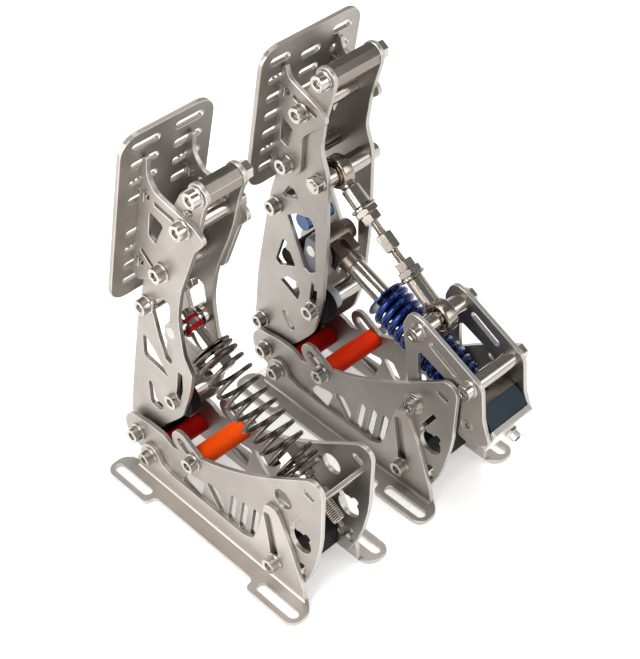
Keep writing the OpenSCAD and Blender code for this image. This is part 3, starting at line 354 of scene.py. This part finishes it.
def painted(name, deep, pale, rough, flake, metal, coat):
    """Metallic paint or anodising: a coloured layer over metal with a fine sparkle, under a clear coat."""
    made, tree = new_material(name)
    place = add_node(tree, "ShaderNodeTexCoord")
    sparkle = add_node(tree, "ShaderNodeTexNoise", None,
                       {"Vector": place.outputs["Object"], "Scale": flake, "Detail": 2.0})
    drift = add_node(tree, "ShaderNodeTexNoise", None,
                     {"Vector": place.outputs["Object"], "Scale": 60.0, "Detail": 3.0})
    colour = add_node(tree, "ShaderNodeMix", {"data_type": "RGBA"},
                      {0: sparkle.outputs["Fac"], 6: linear(deep), 7: linear(pale)})
    gloss = add_node(tree, "ShaderNodeMapRange", None,
                     {"Value": drift.outputs["Fac"], "To Min": rough - 0.06, "To Max": rough + 0.08})
    shader = add_node(tree, "ShaderNodeBsdfPrincipled", None,
                      {"Base Color": colour.outputs[2], "Metallic": metal, "Roughness": gloss.outputs[0],
                       "Coat Weight": coat, "Coat Roughness": 0.12})
    add_node(tree, "ShaderNodeOutputMaterial", None, {"Surface": shader.outputs[0]})
    return made


blue_lacquer = painted("blue metallic lacquer", "#001A4C", "#033480", 0.2, 900.0, 0.7, 0.3)
dress(["brake_cross_tube"], painted("blue anodised tube", "#083E6E", "#0F5488", 0.3, 900.0, 0.6, 0.6), 0.0004)
dress(["brake_spring_block"],
      painted("dark blue anodised block", "#161C21", "#22292F", 0.2, 900.0, 0.92, 0.0), 0.0005)
dress(["brake_block_cover"], blasted_steel("machined steel plate", "#D6D2CD", "#E2DFDA", 0.4, False), 0.0004)
dress(["brake_strut_clevis"], blasted_steel("bronzed clevis steel", "#6E625B", "#857870", 0.3, False), 0.0005)

# Throttle spring
# Round spring wire, oil blackened, wound in open curls with a closed curl at each end, between the strut's
# double disc and the flange on the seat plate.

# the set's middle in Y is this far behind the pedals' pivots, and a side view counts from them, in mm
pivot_to_middle = 89.782
throttle_x, throttle_pin, throttle_seat = 58.5, np.array([33, 134.3]), np.array([145, 69])


def grid_piece(name, points, closed_along, material, body):
    """A closed skin from points[i, j]: quads joined across the last row of j, and either joined across the last
    row of i or capped at both ends. Where the signed volume is negative, the faces are turned round."""
    rows, columns = points.shape[:2]
    index = np.arange(rows * columns).reshape(rows, columns)
    beside, ahead = np.roll(index, -1, axis=1), np.roll(index, -1, axis=0)
    faces = np.stack([index, beside, np.roll(ahead, -1, axis=1), ahead], axis=-1)
    faces = faces if closed_along else faces[:-1]
    flat = points.reshape(-1, 3)
    corners = flat[faces.reshape(-1, 4)] - flat.mean(axis=0)
    volume = np.einsum("ij,ij->", corners[:, 0], np.cross(corners[:, 1], corners[:, 2])
                       + np.cross(corners[:, 2], corners[:, 3]))
    step = 1 if volume > 0 else -1
    faces = faces.reshape(-1, 4)[:, ::step].tolist()
    if not closed_along:
        faces += [index[0, ::-step].tolist(), index[-1, ::step].tolist()]
    mesh = bpy.data.meshes.new(name)
    mesh.from_pydata(flat.tolist(), [], faces)
    mesh.polygons.foreach_set("use_smooth", np.array([len(f) == 4 for f in faces]))
    mesh.set_sharp_from_angle(angle=np.radians(24))
    mesh.materials.append(material)
    thing = bpy.data.objects.new(name, mesh)
    scene.collection.objects.link(thing)
    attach(thing, body)
    return thing


def strut_frame(x, start, end):
    """The length from one pin to the other, both (y, z) in a side view in mm, the way between them, and a function
    that turns places (across, below, along) in mm from the first pin into the CAD's frame in metres."""
    length = float(np.linalg.norm(end - start))
    way = (end - start) / length
    axes = np.array([[1, 0, 0], [0, way[1], -way[0]], [0, way[0], way[1]]])
    pin = np.array([x, start[0] - pivot_to_middle, start[1]])
    return length, (0, float(way[0]), float(way[1])), lambda places: (pin + places @ axes) / 1000


def wound_wire(outside, wire, curls, closed, low, high, place, first_turn=0.0):
    """A round wire along a helix between two seats, with a closed curl at each end: rings of the wire's section,
    square to the wire. outside and wire are radii, and each end stays 0.05 mm off its seat."""
    seat_gap = 0.05
    radius, length = outside - wire, high - low - 2 * wire - 2 * seat_gap
    t = np.linspace(0, curls, int(curls * 40) + 1)
    pitch_open = (length - 2 * closed) / (curls - 2)
    z = np.where(t < 1, t * closed,
                 np.where(t > curls - 1, length - (curls - t) * closed, closed + (t - 1) * pitch_open))
    rise = np.gradient(z, t)
    angle = 2 * np.pi * (t + first_turn)
    out = np.stack([np.cos(angle), np.sin(angle), 0 * angle], -1)
    round_way = np.stack([-np.sin(angle), np.cos(angle), 0 * angle], -1)
    run = 2 * np.pi * radius
    way = (round_way * run + np.stack([0 * z, 0 * z, rise], -1)) / np.hypot(run, rise)[:, None]
    side = np.cross(way, out)
    middle = out * radius + np.stack([0 * z, 0 * z, z + low + wire + seat_gap], -1)
    turn = np.linspace(0, 2 * np.pi, 18, endpoint=False)
    ring = (out[:, None] * np.cos(turn)[None, :, None] + side[:, None] * np.sin(turn)[None, :, None]) * wire
    return place(middle[:, None] + ring)


throttle_length, throttle_way, on_throttle = strut_frame(throttle_x, throttle_pin, throttle_seat)
disc_at, flange_at = 24, throttle_length - 22
spring_steel = bright_steel("oil-blackened spring wire", ("#4B443E", "#655D55"), 0.22, (300, 300, 300))
throttle_spring = grid_piece(
    "throttle_spring_wire", wound_wire(14.25, 1.35, 11, 3.5, disc_at, flange_at, on_throttle),
    False, spring_steel, "throttle_strut")
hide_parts("throttle_spring")
tuple(on_throttle(np.array([0.0, 0.0, disc_at])).tolist())
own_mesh(throttle_spring)
dress(["throttle_upper_perch"],
      bright_steel("blackened steel disc", ("#4E4944", "#68625B"), 0.22, (500, 500, 500)), 0.0006)

# Brake spring
# Heavy round wire in blue metallic lacquer, twelve open curls and a closed one at each end, round the
# push rod. It stays with its lower seat, and the rod's disc presses it.

brake_x, brake_pin, block_pin = -55, np.array([35, 132]), np.array([170.7, 81])
brake_length, brake_way, on_brake = strut_frame(brake_x, brake_pin, block_pin)
push_disc_at, brake_seat_at = 52.6, brake_length - 7.4
brake_spring = grid_piece(
    "brake_spring_wire", wound_wire(14.3, 2.3, 14, 5.4, push_disc_at, brake_seat_at, on_brake, 0.36),
    False, blue_lacquer, "brake_strut_lower")
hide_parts("brake_spring")
tuple(on_brake(np.array([0.0, 0.0, brake_seat_at])).tolist())
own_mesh(brake_spring)

# Struts' tubes, nuts and studs
# Turned steel: on the throttle a tube with a hexagon nut under the spring's first curls, and below it a nut, the
# flange the spring stands on, two more nuts and a threaded stud that the seat plate is clamped on. On the brake
# a push rod, with a blue disc that the heavy spring bears on.


def turned_lengths(rows, place, sides_round=96):
    """Lengths in line, each (from, to, radius, hexagon, chamfer, thread pitch) in mm. The radius is held, or follows
    a hexagon with that corner radius; a cone takes the chamfer off both ends, at 45 degrees from a round and
    steeper from a hexagon; a thread takes off a triangle wave that climbs one pitch for each turn."""
    turn = np.linspace(0, 2 * np.pi, sides_round, endpoint=False)
    places, radii = [], []
    for start, stop, radius, hexagon, chamfer, thread in rows:
        count = int(abs(stop - start) / thread * 8) if thread else 1
        s = np.unique(np.concatenate([np.linspace(start, stop, count + 1),
                                      np.linspace(start, start + chamfer, 9),
                                      np.linspace(stop - chamfer, stop, 9)]))
        to_end = np.minimum(s - start, stop - s)
        cone = radius - np.clip(chamfer - to_end, 0, None) * (1.6 if hexagon else 1)
        flats = np.cos(np.pi / 6) / np.cos(turn % (np.pi / 3) - np.pi / 6)
        shape = radius * (flats if hexagon else np.ones_like(turn))
        wave = np.abs((s[:, None] / (thread or 1) - turn / (2 * np.pi)) % 1 - 0.5) * (0.9 * thread)
        places.append(s)
        radii.append(np.minimum(cone[:, None], shape) - wave)
    along, radius = np.concatenate(places), np.concatenate(radii)
    return place(np.stack([radius * np.cos(turn), radius * np.sin(turn), along[:, None] + 0 * radius], -1))


nickel = bright_steel("nickel-plated steel", ("#A0988E", "#BDB6AC"), 0.15, (200, 500, 500))
upper_stack = grid_piece(
    "throttle_tube_and_nut",
    turned_lengths([(7.4, disc_at, 5.0, False, 0.3, 0), (disc_at, disc_at + 11.6, 8.0, True, 0.9, 0)],
                   on_throttle),
    False, nickel, "throttle_strut")
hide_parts("throttle_strut_tube")
lower_stack = grid_piece(
    "throttle_seat_stack",
    turned_lengths([(flange_at - 14, flange_at - 4.4, 7.8, True, 0.9, 0),
                    (flange_at - 4.4, flange_at, 6.0, False, 0.2, 0),
                    (flange_at, flange_at + 3.2, 13.8, False, 0.5, 0),
                    (flange_at + 3.2, flange_at + 6.6, 6.6, True, 0.8, 0),
                    (flange_at + 6.6, throttle_length - 6.1, 4.3, False, 0.1, 1.25),
                    (throttle_length - 6.1, throttle_length - 1.5, 7.0, True, 0.8, 0),
                    (throttle_length - 1.5, throttle_length + 15, 4.3, False, 0.8, 1.25)], on_throttle),
    False, nickel, "base")
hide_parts("throttle_lower_perch")

# inside the spring the rod is drawn black as painted shade, so that no bright steel shows between the curls
shade_black_steel = bright_steel("rod in painted shade", ("#26231F", "#36322D"), 0.35, (300, 300, 300))
painted_shade_from = push_disc_at - 1.1
push_tube = grid_piece("brake_push_tube", turned_lengths([(20, painted_shade_from, 6.2, False, 0.6, 0)], on_brake),
                       False, turned_steel, "brake_strut_upper")
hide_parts("brake_push_rod")
grid_piece("brake_push_core", turned_lengths([(painted_shade_from, 112, 6.2, False, 0.6, 0)], on_brake),
           False, shade_black_steel, "brake_strut_upper")
grid_piece("brake_push_disc", turned_lengths([(push_disc_at - 1.4, push_disc_at, 13.4, False, 0.4, 0)], on_brake),
           False, blue_lacquer, "brake_strut_upper")

# Tie rod
# Two forged rod ends, nickel plated, on a threaded rod with a hexagon turnbuckle in its middle and a flanged
# nut and a lock nut at each end. Each eye holds a bronze-coloured race, and the rod leans to the middle.


def ring_section(x_from, x_to, r_from, r_to, rounding):
    """A rectangle of x by radius with a quarter circle at each corner, as a closed path."""
    quarter = np.linspace(0, np.pi / 2, 6)
    middles = ((x_to - rounding, r_to - rounding, 0), (x_from + rounding, r_to - rounding, 1),
               (x_from + rounding, r_from + rounding, 2), (x_to - rounding, r_from + rounding, 3))
    return np.concatenate([np.stack([x + rounding * np.cos(quarter + k * np.pi / 2),
                                     r + rounding * np.sin(quarter + k * np.pi / 2)], -1) for x, r, k in middles])


def round_bolt(section, x, pin):
    """A closed section of (x, radius) in mm swept once round a bolt that runs across the pedal."""
    turn = np.linspace(0, 2 * np.pi, 72, endpoint=False)[:, None]
    across, radius = section[None, :, 0] + x + 0 * turn, section[None, :, 1]
    return np.stack([across, pin[0] - pivot_to_middle + radius * np.cos(turn), pin[1] + radius * np.sin(turn)],
                    -1) / 1000


upper_eye_x, upper_eye_pin = brake_x + 4.5, np.array([45.8, 192.9])
lower_eye_x, lower_eye_pin = brake_x + 1.5, np.array([129.5, 130])
tie_length, _, on_upright_tie = strut_frame(upper_eye_x, upper_eye_pin, lower_eye_pin)
tie_lean = np.arctan((upper_eye_x - lower_eye_x) / tie_length)


def on_tie(places):
    """Tie rod places, leaned towards the middle plane by what its eyes differ in X."""
    across = places[..., 0] * np.cos(tie_lean) - places[..., 2] * np.sin(tie_lean)
    along = places[..., 0] * np.sin(tie_lean) + places[..., 2] * np.cos(tie_lean)
    return on_upright_tie(np.stack([across, places[..., 1], along], -1))


forged = bright_steel("plated forging", ("#8D847A", "#A9A197"), 0.2, (200, 200, 200))
race = bright_steel("bronze race", ("#6A5444", "#8A7057"), 0.22, (300, 300, 300))
upper_eye = grid_piece("tie_rod_upper_eye",
                       round_bolt(ring_section(-4.2, 4.2, 7.4, 10.4, 1.3), upper_eye_x, upper_eye_pin),
                       True, forged, "tie_rod")
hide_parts("tie_rod_upper_end")
grid_piece("tie_rod_upper_race",
           round_bolt(ring_section(-4.6, 4.6, 3.1, 7.5, 1.6), upper_eye_x, upper_eye_pin),
           True, race, "tie_rod")
grid_piece("tie_rod_upper_shank",
           turned_lengths([(8.6, 11.5, 5.0, False, 0.6, 0), (11.5, 25, 5.9, False, 0.7, 0)], on_tie),
           False, nickel, "tie_rod")
# the four lower lengths are counted back from the lower eye
adjuster = grid_piece(
    "tie_rod_turnbuckle",
    turned_lengths([(25, 27.2, 8.2, False, 0.6, 0), (27.2, 31, 8.0, True, 0.7, 0), (31, 36.3, 6.4, True, 0.6, 0),
                    (36.3, 45, 2.8, False, 0.1, 1.25), (45, 57, 5.5, True, 1.1, 0),
                    (57, tie_length - 39.6, 2.8, False, 0.1, 1.25),
                    (tie_length - 39.6, tie_length - 34.1, 6.3, True, 0.6, 0),
                    (tie_length - 34.1, tie_length - 30.2, 8.0, True, 0.7, 0),
                    (tie_length - 30.2, tie_length - 27.7, 8.2, False, 0.6, 0)], on_tie),
    False, nickel, "tie_rod")
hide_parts("tie_rod_adjuster")
grid_piece("tie_rod_lower_shank",
           turned_lengths([(tie_length - 27.7, tie_length - 9.0, 5.5, False, 0.7, 0)], on_tie),
           False, nickel, "tie_rod")
lower_eye = grid_piece("tie_rod_lower_eye",
                       round_bolt(ring_section(-4.4, 4.4, 7.3, 10.6, 1.4), lower_eye_x, lower_eye_pin),
                       True, forged, "tie_rod")
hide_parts("tie_rod_lower_end")
grid_piece("tie_rod_lower_race",
           round_bolt(ring_section(-3.4, 3.4, 6.4, 7.4, 0.45), lower_eye_x, lower_eye_pin),
           True, race, "tie_rod")

# Brake arm's roller, pin block and collar
# A pale grey nylon roller beside the rubber bumper, and what holds the strut's pin between the arm plates: a
# grey nylon block at the right and a dark steel collar at the left.

roller_pin = np.array([40.5, 89.6])
roller = grid_piece("brake_roller", round_bolt(ring_section(2, 9.5, 3.05, 8, 0.8), brake_x, roller_pin),
                    True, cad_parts["brake_arm_bushes"].data.materials[0], "brake_arm")
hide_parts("brake_arm_bushes")
# the block's outline in a side view, inside its rounding
block_corners = np.array([[31.5, 123.1], [37.5, 118.1], [42, 118.1], [43.2, 129.6], [40, 137.6], [34, 137.6]])
block_inner, block_outer = 9.4, 16.9


def pin_block(x_from, x_to):
    """A block across the arm: in each direction its outline lies a rounding radius beyond the furthest corner,
    and the radius shrinks at both ends of the block."""
    turn = np.linspace(0, 2 * np.pi, 96, endpoint=False)
    way = np.stack([np.cos(turn), np.sin(turn)], -1)
    furthest = block_corners[np.argmax(way @ block_corners.T, axis=1)]
    across = np.array([x_from, x_from + 0.2, x_from + 0.8, x_to - 0.8, x_to - 0.2, x_to])
    rounding = np.array([3.2, 3.75, 4, 4, 3.75, 3.2])
    side = furthest[None] + rounding[:, None, None] * way[None]
    x = np.broadcast_to(across[:, None, None] + brake_x, side[..., :1].shape)
    return np.concatenate([x, side[..., :1] - pivot_to_middle, side[..., 1:]], -1) / 1000


# the block is the roller's grey nylon, drawn darker as painted shade between the arm plates
grid_piece("brake_pin_block_right", pin_block(block_inner, block_outer), False,
           moulded("grey nylon in painted shade", "#6C7076", "#83868C", 0.4, 1500.0, 0.00005), "brake_arm")
grid_piece("brake_pin_collar_left",
           round_bolt(ring_section(-block_outer, -block_inner, 3.1, 7.0, 0.8), brake_x, brake_pin), True,
           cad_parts["brake_strut_clevis"].data.materials[0], "brake_arm")

# Outlet fitting
# A short threaded barrel with a hexagon foot on the back of the spring block's cover, closed by a black
# grommet. No cable leaves it.

cover_back = brake_length + 17.65
grid_piece("outlet_barrel",
           turned_lengths([(cover_back, cover_back + 2.45, 4.7, True, 0.6, 0),
                           (cover_back + 2.45, cover_back + 6.95, 3.6, False, 0.4, 1.0)], on_brake),
           False, nickel, "brake_strut_lower")
grid_piece("outlet_grommet",
           turned_lengths([(cover_back + 6.35, cover_back + 7.35, 2.3, False, 0.4, 0)], on_brake, 32),
           False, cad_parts["throttle_arm_hub"].data.materials[0], "brake_strut_lower")
